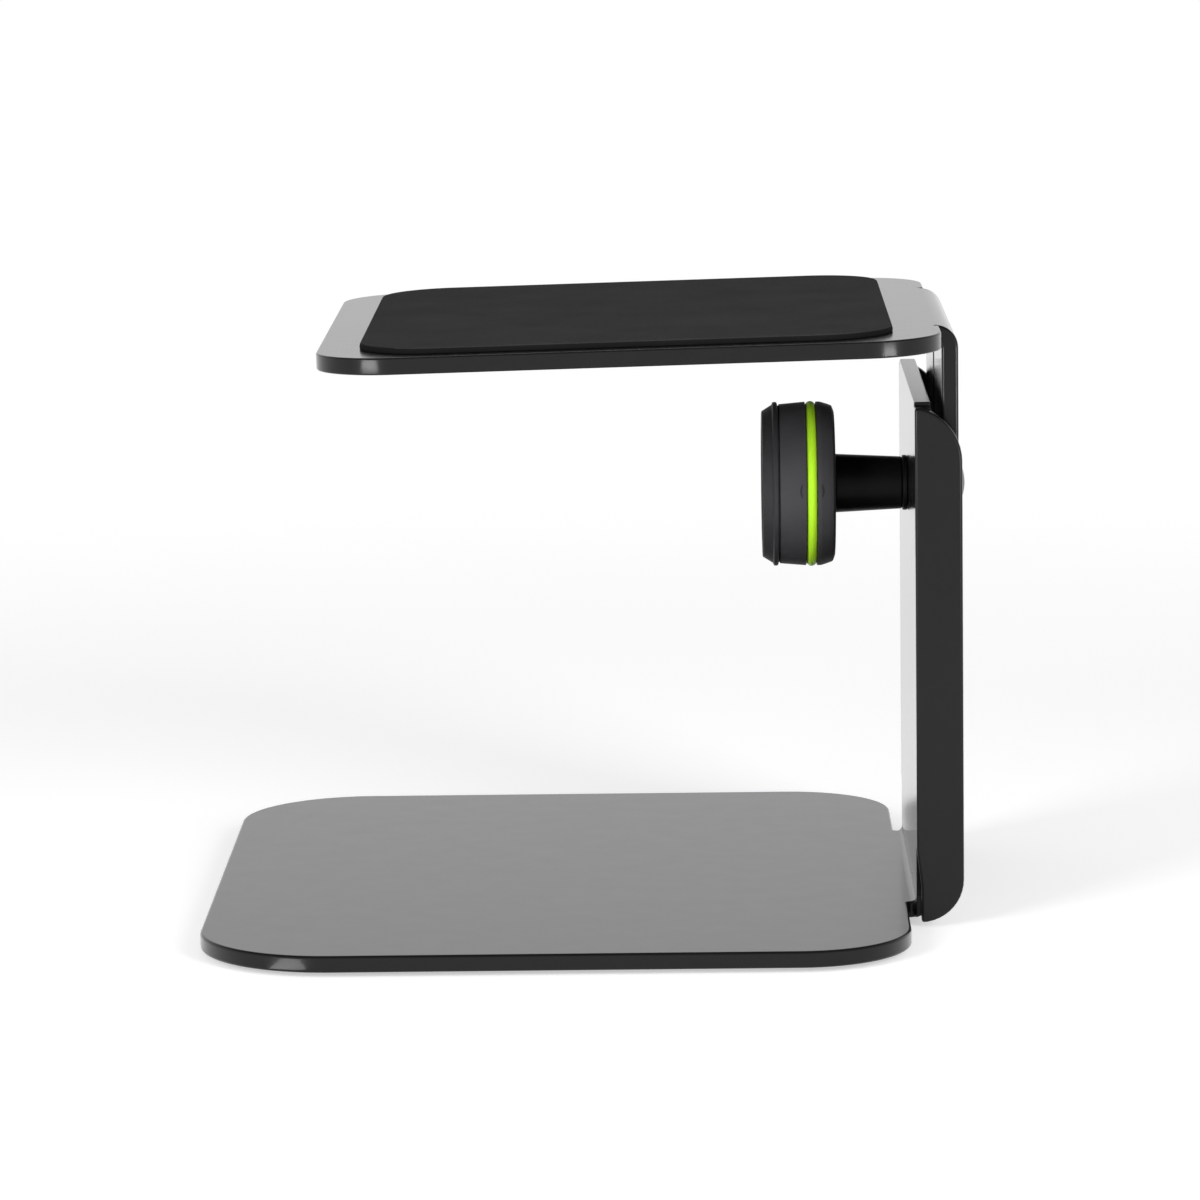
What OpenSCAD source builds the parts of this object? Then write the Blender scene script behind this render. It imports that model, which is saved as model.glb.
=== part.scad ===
// Desktop stand for a monitor speaker.
// A bent steel base carries an upright post. A tray with a slotted tongue
// slides up and down behind the post and is clamped by one knob.
// Front is -Y, up is +Z. The origin is the middle of the footprint.

/* [Sheet steel] */
// Thickness of both bent sheets
sheet_t = 5; // [4:0.5:6]
// Inner radius of the folds
bend_r = 1.8; // [1:0.2:3]

/* [Base plate] */
// Width of the base plate
base_w = 250; // [210:5:300]
// Front edge of the base plate to the front face of the post
base_reach = 212; // [180:2:240]
// Radius of the front corners
base_front_r = 40; // [20:1:45]
// Radius of the rear corners
base_rear_r = 33; // [15:1:38]
// Width of the relief notch beside the fold
relief_w = 2.8; // [2.2:0.2:4]
// How far the relief notch reaches in from the side of the post
relief_in = 7.5; // [7:0.25:9]

/* [Post] */
// Width over the flanges
post_w = 127; // [115:1:150]
// Height of the post above the underside of the plate
post_h = 155.5; // [140:0.5:180]
// Depth of the flanges, front face of the post to their rear edge
flange_d = 14; // [13.5:0.5:18]
// Radius of the flanges' lower rear corner
flange_foot_r = 13; // [4:0.5:13]
// Radius of the flanges' upper rear curve
flange_top_r = 16.6; // [14:0.2:18]
// Highest point of that curve below the top of the post
flange_top_drop = 0.6; // [0.3:0.1:0.9]
// Depth of the notch in the post's upper corners
notch_d = 1.2; // [0.8:0.1:2]
// Height of the tapered slit at the foot of each flange
slit_h = 22; // [12:0.5:30]
// Width of that slit
slit_w = 1.3; // [0.8:0.1:2]

/* [Tray] */
// Width of the tray
tray_w = 188; // [160:1:230]
// Front edge of the tray to the front face of its tongue
tray_reach = 183.5; // [160:0.5:210]
// Radius of the tray's corners
tray_corner_r = 23; // [12:1:30]
// Forward slope of the tray
tray_slope = 1.25; // [0:0.25:3]
// Underside of the tray above the top of the post, as pictured
tray_gap = 17.5; // [8:0.5:30]
// Width of the cut between the tray's rear edge and the tongue
tray_cut_w = 0.6; // [0.4:0.1:1]

/* [Tongue] */
// Gap between post and tongue
tongue_gap = 3.3; // [2.5:0.1:4]
// Width of the slot
slot_w = 8.4; // [8.3:0.1:9]
// Upward travel of the tray from the pictured height
lift = 80; // [40:1:85]
// Sheet left below the slot
slot_margin = 10; // [6:0.5:14]
// Sheet left between the slot and the fold
slot_top_margin = 4; // [2:0.5:10]
// Radius of the tongue's lower corners
tongue_corner_r = 6; // [2:0.5:12]

/* [Pad] */
// Width of the pad
pad_w = 174; // [120:1:176]
// Length of the pad, front to back
pad_l = 156.5; // [120:0.5:158]
// Thickness of the pad
pad_t = 2; // [1.5:0.25:4]
// Radius of the pad's corners
pad_corner_r = 22; // [10:1:30]
// Bare strip in front of the pad
pad_margin = 12.5; // [6:0.5:14]
// Chamfer round the pad's upper edge
pad_edge = 0.6; // [0.3:0.1:1]

/* [Clamp] */
// Bolt axis below the top of the post
bolt_drop = 31.5; // [28:0.5:40]
// Thread diameter of the clamp bolt
bolt_d = 8; // [7.5:0.1:8.1]
// Length of the bolt under its head
bolt_l = 40; // [35:1:42]
// Diameter of the bolt's domed head
head_d = 20; // [16:0.5:22]
// Height of the bolt's domed head
head_h = 4.2; // [3:0.1:5]
// Length of the square neck
neck_l = 4.5; // [3:0.25:4.75]
// Chamfer on the bolt's tip
bolt_chamfer = 1; // [0.5:0.1:1.5]
// Diameter of the washer under the knob
washer_d = 16.8; // [15:0.2:24]
// Thickness of the washer under the knob
washer_t = 1.5; // [1:0.1:2]
// Diameter of the spacer between post and tongue
spacer_d = 24; // [18:0.5:32]

/* [Guide strips] */
// Height of the guide strips
strip_h = 116; // [60:1:118]
// Width of the strip's leg behind the post
strip_leg = 14; // [8:0.5:20]
// Thickness of the strip beside the tongue
strip_side = 3.3; // [2:0.1:5]
// Upper end of the strips below the curve of the flanges
strip_step = 3; // [1:0.5:8]

/* [Knob] */
// Largest diameter of the knob
knob_d = 50; // [44:1:56]
// Length of the stem
stem_l = 20.4; // [16:0.2:24]
// Diameter of the stem at the washer
stem_end_d = 15.9; // [14.5:0.1:18]
// Diameter of the stem at the drum
stem_root_d = 17.9; // [15:0.1:20]
// Length of the drum, from its rear face to the seam of the cap
drum_l = 17.1; // [16.5:0.1:20]
// Length of the cap from its seam to its front face
cap_l = 5.2; // [4:0.1:6]
// Diameter of the cap's front face
cap_face_d = 44.4; // [40:0.2:46]
// Thickness of the green ring
ring_t = 3.1; // [2.4:0.1:3.6]
// How far the ring stands out of the drum
ring_proud = 0.2; // [0.1:0.05:0.5]
// Rear face of the drum to the middle of the ring
ring_at = 7.4; // [6:0.1:8]
// Radius of the hollow in the drum
hollow_r = 18.5; // [12:0.5:19]
// Depth of the hollow in the drum
hollow_d = 9; // [6:0.5:10]
// Outer diameter of the threaded insert
insert_d = 12; // [11:0.2:13]
// Length of the threaded insert
insert_l = 18; // [12:0.5:20]
// End of the stem to the insert
insert_inset = 2; // [1:0.25:4]

/* [Feet] */
// Diameter of the rubber feet
foot_d = 20; // [12:1:26]
// Thickness of the rubber feet
foot_t = 1.5; // [1:0.1:3]
// Centre of a foot from the plate's edges
foot_inset = 24; // [18:1:36]

/* [Fits] */
// Sliding clearance of the tongue on each face
slide_gap = 0.15; // [0.1:0.05:0.3]
// Gap between faces that are clamped together
seat_gap = 0.05; // [0.02:0.01:0.1]
// Radial clearance of the bolt in plain holes
hole_gap = 0.25; // [0.2:0.05:0.5]
// Radial clearance of the bolt in the knob's insert
run_gap = 0.05; // [0.02:0.01:0.1]
// Clearance of pieces that are pressed into the knob
press_gap = 0.03; // [0.02:0.01:0.06]

/* [Hidden] */
$fn = 96;

// Overrun of every cut
cut = 1;

// Heights above the plate's underside, depths behind the post's front face
tongue_y = sheet_t + tongue_gap;
tongue_back_y = tongue_y + sheet_t;
bolt_z = post_h - bolt_drop;
back_reach = tongue_back_y + seat_gap + head_h;
post_y = (base_reach - back_reach) / 2;

flange_in = post_w / 2 - sheet_t;
tongue_w = 2 * (flange_in - strip_side - slide_gap);
relief_r = relief_w / 2;
fold_half = post_w / 2 - relief_in + relief_r;

bend_out_r = bend_r + sheet_t;
tray_bend_y = tongue_y - bend_r;
tray_bend_z = post_h + tray_gap - bend_r * cos(tray_slope);
tray_l = tray_reach - bend_r;
tray_ear = bend_r - tray_cut_w;

slot_r = slot_w / 2;
slot_bottom_z = bolt_z - lift - bolt_d / 2 - hole_gap;
slot_top_z = tray_bend_z - slot_top_margin - slot_r;
tongue_bottom_z = slot_bottom_z - slot_r - slot_margin;

strip_t = tongue_gap - slide_gap;
strip_z = post_h - flange_top_drop - flange_top_r - strip_step - strip_h;

// The knob's own axis: 0 at the post's front face, growing towards the front
hole_r = bolt_d / 2 + hole_gap;
washer_a = seat_gap;
stem_a = washer_a + washer_t + seat_gap;
drum_a = stem_a + stem_l;
cap_a = drum_a + drum_l;
ring_a = drum_a + ring_at;
ring_section_r = ring_t / 2;
ring_centre_r = knob_d / 2 + ring_proud - ring_section_r;
groove_r = ring_centre_r - ring_section_r - press_gap;
knob_r = knob_d / 2;
insert_a = stem_a + insert_inset;

// Places everything that is measured from the post's front face
module placed() translate([0, post_y, foot_t]) children();

// Turns a shape along +Z into one along the bolt, pointing to the front
module on_bolt() placed() translate([0, 0, bolt_z]) rotate([90, 0, 0]) children();

// What a rounded corner removes, with the corner at the origin
module corner(r) difference() {
  translate([-cut, -cut]) square([r + cut, r + cut]);
  translate([r, r]) circle(r);
}

// Rectangle centred on X that runs from y0 to y1, with front and rear corner radii
module plate(w, y0, y1, front_r, rear_r) difference() {
  translate([-w / 2, y0]) square([w, y1 - y0]);
  for (s = [0, 1]) mirror([s, 0]) {
    translate([-w / 2, y0]) corner(front_r);
    translate([-w / 2, y1]) mirror([0, 1]) corner(rear_r);
  }
}

// Quarter bend about an axis along X: starts at angle a0 from +Y and turns towards +Z
module bend(w, a0, sweep) rotate([90, 0, 90]) rotate([0, 0, a0])
  rotate_extrude(angle = sweep) translate([bend_r, -w / 2]) square([sheet_t, w]);

// Outline of a flange, drawn as depth and height
module flange_outline() difference() {
  square([flange_d, post_h]);
  translate([flange_d, 0]) mirror([1, 0]) corner(flange_foot_r);
}

// Base plate, fold, post and both flanges: one sheet
module base_bracket() color("#2c2c2e") placed() difference() {
  union() {
    linear_extrude(sheet_t) {
      plate(base_w, -base_reach, -relief_w, base_front_r, base_rear_r);
      translate([-fold_half, -relief_w - cut]) square([2 * fold_half, relief_w + cut - bend_r]);
    }
    translate([0, -bend_r, bend_out_r]) bend(2 * fold_half, -90, 90);
    translate([-post_w / 2, 0, bend_out_r]) cube([post_w, sheet_t, post_h - bend_out_r]);
    for (s = [0, 1]) mirror([s, 0, 0])
      translate([flange_in, 0, 0]) rotate([90, 0, 90]) linear_extrude(sheet_t) flange_outline();
  }
  translate([0, -cut, bolt_z]) rotate([-90, 0, 0]) cylinder(r = hole_r, h = sheet_t + 2 * cut);
  for (s = [0, 1]) mirror([s, 0, 0]) {
    // round end of the notch beside the fold
    translate([fold_half, -relief_r, -cut]) cylinder(r = relief_r, h = bend_out_r + cut);
    // tapered slit that frees the foot of the flange
    translate([flange_in, 0, 0]) rotate([90, 0, 90]) linear_extrude(sheet_t + cut)
      polygon([[-cut, -cut], [slit_w, -cut], [slit_w, slit_h / 2], [0, slit_h], [-cut, slit_h]]);
    // upper rear curve of the flange, which starts in the post's own sheet
    translate([flange_in, 0, 0]) rotate([90, 0, 90]) linear_extrude(sheet_t + cut)
      translate([flange_d, post_h - flange_top_drop]) rotate(180) corner(flange_top_r);
    // notch in the upper corner
    translate([flange_in - notch_d, -cut, post_h - notch_d])
      cube([sheet_t + notch_d + cut, sheet_t + cut, notch_d + cut]);
  }
}

// Mirrors a piece that is drawn on the right to the left
module on_side(side) mirror([side == "left" ? 1 : 0, 0, 0]) children();

// Four thin discs stuck under the plate
module foot(end, side) color("#161617") on_side(side)
  translate([base_w / 2 - foot_inset,
             post_y - (end == "rear" ? relief_w + foot_inset : base_reach - foot_inset), 0])
    cylinder(d = foot_d, h = foot_t);

// Angled strip in the corner between post and flange, beside and behind which the tongue runs
module guide_strip(side) color("#1c1c1e") placed()
  translate([0, sheet_t, strip_z]) on_side(side) linear_extrude(strip_h) {
    translate([flange_in - strip_leg, 0]) square([strip_leg, strip_t]);
    translate([flange_in - strip_side, 0]) square([strip_side, flange_d - sheet_t]);
  }

module spacer_washer() color("#202022") placed() translate([0, sheet_t, bolt_z]) rotate([-90, 0, 0])
  difference() {
    cylinder(d = spacer_d, h = strip_t);
    translate([0, 0, -cut]) cylinder(r = hole_r, h = strip_t + 2 * cut);
  }

// Coach bolt: low domed head, square neck in the slot, round shank to the front
module clamp_bolt() color("#3a3a3c") on_bolt() translate([0, 0, -tongue_back_y - seat_gap]) {
  head_r = (pow(head_d / 2, 2) + pow(head_h, 2)) / (2 * head_h);
  intersection() {
    translate([0, 0, head_r - head_h]) sphere(head_r);
    translate([0, 0, -head_h - cut]) cylinder(d = head_d + 2 * cut, h = head_h + cut);
  }
  translate([-bolt_d / 2, -bolt_d / 2, 0]) cube([bolt_d, bolt_d, neck_l]);
  cylinder(d = bolt_d, h = bolt_l - bolt_chamfer);
  translate([0, 0, bolt_l - bolt_chamfer])
    cylinder(d1 = bolt_d, d2 = bolt_d - 2 * bolt_chamfer, h = bolt_chamfer);
}

// Frame on the tray's sloping underside, at the line where the fold begins
module on_tray() placed() translate([0, tray_bend_y, tray_bend_z]) rotate([tray_slope, 0, 0])
  translate([0, 0, bend_r]) children();

// Tray, fold and slotted tongue: one sheet
module tray_bracket() color("#2c2c2e") {
  on_tray() linear_extrude(sheet_t) difference() {
    plate(tray_w, -tray_l, tray_ear, tray_corner_r, tray_corner_r);
    translate([-tongue_w / 2 - tray_cut_w, 0]) square([tongue_w + 2 * tray_cut_w, tray_ear + cut]);
  }
  placed() translate([0, tray_bend_y, tray_bend_z]) bend(tongue_w, 0, 90 + tray_slope);
  placed() difference() {
    translate([0, tongue_back_y, 0]) rotate([90, 0, 0]) linear_extrude(sheet_t)
      plate(tongue_w, tongue_bottom_z, tray_bend_z, tongue_corner_r, 0);
    for (z = [slot_bottom_z, slot_top_z]) translate([0, tongue_y - cut, z])
      rotate([-90, 0, 0]) cylinder(r = slot_r, h = sheet_t + 2 * cut);
    translate([-slot_r, tongue_y - cut, slot_bottom_z])
      cube([slot_w, sheet_t + 2 * cut, slot_top_z - slot_bottom_z]);
  }
}

// Cellular rubber sheet on the tray
module tray_pad() color("#1d1d1f") on_tray() translate([0, pad_margin - tray_l, sheet_t]) {
  linear_extrude(pad_t - pad_edge) plate(pad_w, 0, pad_l, pad_corner_r, pad_corner_r);
  translate([0, 0, pad_t - pad_edge]) linear_extrude(pad_edge)
    plate(pad_w - 2 * pad_edge, pad_edge, pad_l - pad_edge, pad_corner_r - pad_edge, pad_corner_r - pad_edge);
}

module clamp_washer() color("#0f0f10") on_bolt() translate([0, 0, washer_a]) difference() {
  cylinder(d = washer_d, h = washer_t);
  translate([0, 0, -cut]) cylinder(r = hole_r, h = washer_t + 2 * cut);
}

// Radii of the drum's outline as shares of the knob's radius
rear_face_share = 0.88;
crown_share = 0.94;
shoulder_share = 0.97;
drum_share = 1;
seam_share = 0.97;
// Stations of the drum's rear shoulder as shares of the ring's place
face_cone_share = 0.04;
crown_at_share = 0.12;
shoulder_at_share = 0.3;
shoulder_end_share = 0.62;

// Stem and drum, moulded in one, with the ring's groove and a hollow front
module knob_body() color("#2b2d33") on_bolt() difference() {
  rotate_extrude() polygon([
    [0, stem_a], [stem_end_d / 2, stem_a], [stem_root_d / 2, drum_a],
    [rear_face_share * knob_r, drum_a + face_cone_share * ring_at],
    [crown_share * knob_r, drum_a + crown_at_share * ring_at],
    [shoulder_share * knob_r, drum_a + shoulder_at_share * ring_at],
    [drum_share * knob_r, drum_a + shoulder_end_share * ring_at],
    [drum_share * knob_r, ring_a - ring_section_r - press_gap],
    [groove_r, ring_a - ring_section_r - press_gap],
    [groove_r, ring_a + ring_section_r + press_gap],
    [drum_share * knob_r, ring_a + ring_section_r + press_gap],
    [seam_share * knob_r, cap_a], [0, cap_a]]);
  translate([0, 0, cap_a - hollow_d]) cylinder(r = hollow_r, h = hollow_d + cut);
  translate([0, 0, insert_a]) cylinder(d = insert_d + 2 * press_gap, h = insert_l);
  translate([0, 0, stem_a - cut]) cylinder(r = hole_r, h = cap_a - stem_a);
}

// Brass bush with the thread that draws the bolt
module knob_insert() color("#b79246") on_bolt() translate([0, 0, insert_a]) difference() {
  cylinder(d = insert_d, h = insert_l - press_gap);
  translate([0, 0, -cut]) cylinder(r = bolt_d / 2 + run_gap, h = insert_l + 2 * cut);
}

// Bright rubber ring in the drum's groove
module knob_ring() color("#96e02a") on_bolt() translate([0, 0, ring_a]) rotate_extrude()
  translate([ring_centre_r, 0]) circle(ring_section_r, $fn = 32);

// Stations and radii of the cap's outline as shares of its length and of the knob's radius
lip_start_share = 0.1;
lip_crest_share = 0.22;
lip_end_share = 0.34;
cone_start_share = 0.4;
cone_root_share = 0.975;
face_edge_share = 0.9;
dish_share = 0.82;

// Bevelled front cap with a raised lip; its spigot sits in the drum's hollow
module knob_cap() color("#303238") on_bolt() translate([0, 0, cap_a]) {
  rotate_extrude() polygon([
    [0, 0], [seam_share * knob_r, 0], [drum_share * knob_r, lip_start_share * cap_l],
    [knob_r, lip_crest_share * cap_l], [drum_share * knob_r, lip_end_share * cap_l],
    [cone_root_share * knob_r, cone_start_share * cap_l],
    [cap_face_d / 2, face_edge_share * cap_l], [cap_face_d / 2 - (1 - face_edge_share) * cap_l, cap_l],
    [dish_share * cap_face_d / 2, cap_l], [dish_share * cap_face_d / 2 - (1 - face_edge_share) * cap_l,
    face_edge_share * cap_l], [0, face_edge_share * cap_l]]);
  translate([0, 0, -hollow_d / 2]) cylinder(r = hollow_r - press_gap, h = hollow_d / 2);
}

base_bracket();
foot("front", "left");  // foot_front_left
foot("front", "right");  // foot_front_right
foot("rear", "left");  // foot_rear_left
foot("rear", "right");  // foot_rear_right
guide_strip("left");  // guide_strip_left
guide_strip("right");  // guide_strip_right
spacer_washer();
clamp_bolt();
tray_bracket();
tray_pad();
clamp_washer();
knob_body();
knob_insert();
knob_ring();
knob_cap();
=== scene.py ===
# Desktop stand for a monitor speaker, dressed piece by piece in the order of its assembly.
import math

import bmesh
import bpy
import numpy as np
from mathutils import Matrix, Vector


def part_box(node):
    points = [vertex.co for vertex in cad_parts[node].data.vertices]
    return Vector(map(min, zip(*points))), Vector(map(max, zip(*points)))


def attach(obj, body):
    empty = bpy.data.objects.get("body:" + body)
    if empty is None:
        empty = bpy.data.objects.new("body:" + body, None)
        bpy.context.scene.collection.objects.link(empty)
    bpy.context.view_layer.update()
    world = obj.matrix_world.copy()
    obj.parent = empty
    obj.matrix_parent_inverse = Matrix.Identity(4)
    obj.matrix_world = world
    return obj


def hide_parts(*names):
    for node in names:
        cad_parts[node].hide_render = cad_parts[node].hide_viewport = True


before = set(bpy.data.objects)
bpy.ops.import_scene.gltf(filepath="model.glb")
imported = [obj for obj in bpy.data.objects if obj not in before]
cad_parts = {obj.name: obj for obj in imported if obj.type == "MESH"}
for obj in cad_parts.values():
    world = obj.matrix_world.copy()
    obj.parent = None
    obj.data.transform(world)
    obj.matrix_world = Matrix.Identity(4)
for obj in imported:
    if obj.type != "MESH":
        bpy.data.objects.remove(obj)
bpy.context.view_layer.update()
MM = 0.001

# Base bracket. One blank of 5 mm sheet steel, cut and then folded up into the post and its
# two side flanges, with relief notches beside the fold. Satin black powder coat, which draws
# back on the cut edges, so that they are slightly round and catch the light.
SHEET_EDGE = 0.9 * MM
EDGE_STEPS = 3
ROOM_SHARE = 0.45
# Slivers narrower than this are closed in a copy of a CAD node. Two of its faces that turn by
# less than FLAT become one, and an edge where they turn by more than SHARP is rounded.
CAD_WELD = 0.18 * MM
FLAT = math.radians(0.5)
SHARP = math.radians(30)
COAT_DARK = (0.0075, 0.0075, 0.0078, 1)
COAT_LIGHT = (0.0095, 0.0095, 0.0098, 1)
COAT_MOTTLE = 9 * MM
COAT_PEEL = 1.1 * MM
COAT_GRAIN = 0.22 * MM
PEEL_SHARE = 0.7
PEEL_DEPTH = 0.006 * MM
COAT_ROUGH = (0.3, 0.34)
COAT_SHINE = 0.13
SKIN_ROUGH = 0.13
SKIN_IOR = 1.19
# Specks of dust in the coat: their spacing, their size and the share of the places that have one
DUST = (23 * MM, 0.16 * MM, 0.3)
DUST_GREY = (0.16, 0.16, 0.155, 1)


class Wire:
    """One output of a shader node. Sums, differences and products of wires and numbers add Math
    nodes to its finish."""

    def __init__(self, finish, socket):
        self.finish = finish
        self.socket = socket

    def __add__(self, other):
        return self.finish.math("ADD", self, other)

    def __sub__(self, other):
        return self.finish.math("SUBTRACT", self, other)

    def __rsub__(self, other):
        return self.finish.math("SUBTRACT", other, self)

    def __mul__(self, other):
        return self.finish.math("MULTIPLY", self, other)

    __radd__ = __add__
    __rmul__ = __mul__


class Finish:
    """A material under construction, or the world's background where a tree is given."""

    def __init__(self, name, tree=None):
        self.material = None
        if tree is None:
            self.material = bpy.data.materials.new(name)
            self.material.use_nodes = True
            tree = self.material.node_tree
        self.tree = tree
        self.tree.nodes.clear()
        self.place = self.node("TexCoord", out="Object")

    def node(self, kind, settings=None, sockets=None, out=0):
        """Adds one node: first its settings, then the values or wires of its sockets."""
        made = self.tree.nodes.new("ShaderNode" + kind)
        for name, value in (settings or {}).items():
            setattr(made, name, value)
        for name, value in (sockets or {}).items():
            if isinstance(value, Wire):
                self.tree.links.new(value.socket, made.inputs[name])
            else:
                made.inputs[name].default_value = value
        return Wire(self, made.outputs[out])

    def math(self, operation, *terms):
        """A Math node on wires and numbers."""
        return self.node("Math", {"operation": operation}, dict(enumerate(terms)))

    def between(self, ends, factor):
        """Number that goes from one end to the other as factor goes from 0 to 1."""
        return ends[0] + (ends[1] - ends[0]) * factor

    def noise(self, size, detail=2.0):
        """Soft noise from 0 to 1 whose lumps measure about size metres."""
        sockets = {"Vector": self.place, "Scale": 1 / size, "Detail": detail}
        return self.node("TexNoise", {}, sockets)

    def specks(self, spacing, size, share):
        """1 on round specks of that size, at that spacing, in a share of the places."""
        cell = {"Vector": self.place, "Scale": 1 / spacing}
        near = self.math("LESS_THAN", self.node("TexVoronoi", {}, cell, "Distance"), size / spacing)
        shade = self.node("SeparateColor", {}, {0: self.node("TexVoronoi", {}, cell, "Color")})
        return near * self.math("LESS_THAN", shade, share)

    def blend(self, factor, first, second):
        """Colour that goes from first to second as factor goes from 0 to 1. A Mix node takes
        colours at its sockets 6 and 7, and gives one at its output 2."""
        return self.node("Mix", {"data_type": "RGBA"}, {0: factor, 6: first, 7: second}, 2)

    def bump(self, height, depth):
        """Normal of a relief whose height, from 0 to 1, stands for depth metres."""
        return self.node("Bump", {}, {"Height": height, "Distance": depth, "Strength": 1.0})

    def surface(self, **sockets):
        """Ends the finish in a Principled BSDF; socket names have _ for a space."""
        named = {name.replace("_", " "): value for name, value in sockets.items()}
        self.end_with(self.node("BsdfPrincipled", {}, named))
        return self.material

    def end_with(self, shader):
        """Links a shader to the output of the material or the world."""
        kind = "ShaderNodeOutput" + ("Material" if self.material else "World")
        self.tree.links.new(shader.socket, self.tree.nodes.new(kind).inputs["Surface"])


def powder_coat():
    """Fine orange peel with a finer grain, faint mottling and a few specks of dust, under a
    smooth skin that has a weak, soft shine."""
    finish = Finish("powder_coat")
    mottle = finish.noise(COAT_MOTTLE, detail=4.0)
    colour = finish.blend(mottle, COAT_DARK, COAT_LIGHT)
    colour = finish.blend(finish.specks(*DUST), colour, DUST_GREY)
    relief = finish.noise(COAT_PEEL) * PEEL_SHARE + finish.noise(COAT_GRAIN) * (1 - PEEL_SHARE)
    return finish.surface(
        Base_Color=colour, Roughness=finish.between(COAT_ROUGH, mottle),
        Specular_IOR_Level=COAT_SHINE, Coat_Weight=1.0, Coat_Roughness=SKIN_ROUGH,
        Coat_IOR=SKIN_IOR, Normal=finish.bump(relief, PEEL_DEPTH))


def add_piece(name, corners, faces, *materials):
    """A smooth-shaded mesh object at the origin."""
    mesh = bpy.data.meshes.new(name)
    mesh.from_pydata(corners, [], faces)
    mesh.polygons.foreach_set("use_smooth", [True] * len(mesh.polygons))
    for material in materials:
        mesh.materials.append(material)
    piece = bpy.data.objects.new(name, mesh)
    bpy.context.scene.collection.objects.link(piece)
    return piece


def weigh_normals(piece):
    """Weighs the normals by area, so that flat faces stay flat beside their round edges."""
    weigh = piece.modifiers.new("normals", "WEIGHTED_NORMAL")
    weigh.keep_sharp = False
    weigh.weight = 100


def crossing(line, other):
    """Whether two edges that share a corner turn there by more than SHARP."""
    turn = (line.verts[1].co - line.verts[0].co).angle(other.verts[1].co - other.verts[0].co)
    return SHARP < turn < math.pi - SHARP


def room(line):
    """Lengths of the edges that cross line at the outward corners of its two faces, which is
    the way in which its rounding spreads."""
    pairs = [(loop, *{loop.edge, loop.link_loop_prev.edge} - {line}) for face in line.link_faces
             for loop in face.loops if line in (loop.edge, loop.link_loop_prev.edge)]
    return [other.calc_length() for loop, other in pairs
            if loop.is_convex and crossing(line, other)]


def dressed(node, name, edge, material):
    """A single-skinned copy of a CAD node: doubles merged, flat areas made one face each, and
    every outer edge sharper than SHARP rounded. Edges that run on into one another share a
    radius: edge, or ROOM_SHARE of the shortest edge that takes it up at a corner."""
    work = bmesh.new()
    work.from_mesh(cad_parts[node].data)
    bmesh.ops.remove_doubles(work, verts=work.verts, dist=CAD_WELD)
    bmesh.ops.dissolve_limit(work, angle_limit=FLAT, verts=work.verts, edges=work.edges)
    weight = work.edges.layers.float.new("bevel_weight_edge")
    waiting = {line for line in work.edges if line.calc_face_angle_signed(0) > SHARP}
    while waiting:
        run, fresh, rooms = set(), {waiting.pop()}, [edge / ROOM_SHARE]
        while fresh:
            line = fresh.pop()
            run.add(line)
            rooms += room(line)
            ahead = {other for corner in line.verts for other in corner.link_edges
                     if other in waiting and not crossing(line, other)}
            waiting -= ahead
            fresh |= ahead
        for line in run:
            line[weight] = ROOM_SHARE * min(rooms) / edge
    piece = add_piece(name, [], [], material)
    work.to_mesh(piece.data)
    work.free()
    piece.data.polygons.foreach_set("use_smooth", [True] * len(piece.data.polygons))
    bevel = piece.modifiers.new("edge", "BEVEL")
    bevel.width = edge
    bevel.segments = EDGE_STEPS
    bevel.limit_method = "WEIGHT"
    bevel.use_clamp_overlap = False
    weigh_normals(piece)
    return piece


coat = powder_coat()
base_sheet = dressed("base_bracket", "base_sheet", SHEET_EDGE, coat)
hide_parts("base_bracket")
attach(base_sheet, "base")

# Rubber feet. Four thin black discs punched from sheet rubber, with a soft edge, stuck under
# the corners of the base plate so that it neither slides nor scratches.
FOOT_EDGE = 0.5 * MM
ARC_STEPS = 5
WELD = 0.001 * MM
UP = (0, 0, 1)
RUBBER_DARK = (0.018, 0.018, 0.0185, 1)
RUBBER_LIGHT = (0.03, 0.03, 0.031, 1)
RUBBER_PEBBLE = 0.4 * MM
RUBBER_DEPTH = 0.03 * MM
RUBBER_ROUGH = (0.75, 0.85)


def rounded(points):
    """The closed or open outline through points, each given as two coordinates and a radius.
    A corner whose radius isn't zero is replaced by an arc: centre on the corner's bisector,
    tangent to both sides."""
    corners = np.array([point[:2] for point in points], float)
    radii = [point[2] for point in points]
    turn = np.linspace(0, 1, ARC_STEPS + 1)[:, None]
    outline = []
    neighbours = np.roll(corners, 1, 0), np.roll(corners, -1, 0)
    for corner, radius, before, after in zip(corners, radii, *neighbours):
        if radius == 0:
            outline.append(corner[None])
            continue
        back = (before - corner) / np.linalg.norm(before - corner)
        on = (after - corner) / np.linalg.norm(after - corner)
        half = np.arccos(np.clip(back @ on, -1, 1)) / 2
        centre = corner + (back + on) / np.linalg.norm(back + on) * radius / np.sin(half)
        start = corner + back * radius / np.tan(half) - centre
        end = corner + on * radius / np.tan(half) - centre
        sweep = np.pi - 2 * half
        arc = np.sin((1 - turn) * sweep) * start + np.sin(turn * sweep) * end
        outline.append(centre + arc / np.sin(sweep))
    return np.concatenate(outline)


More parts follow.
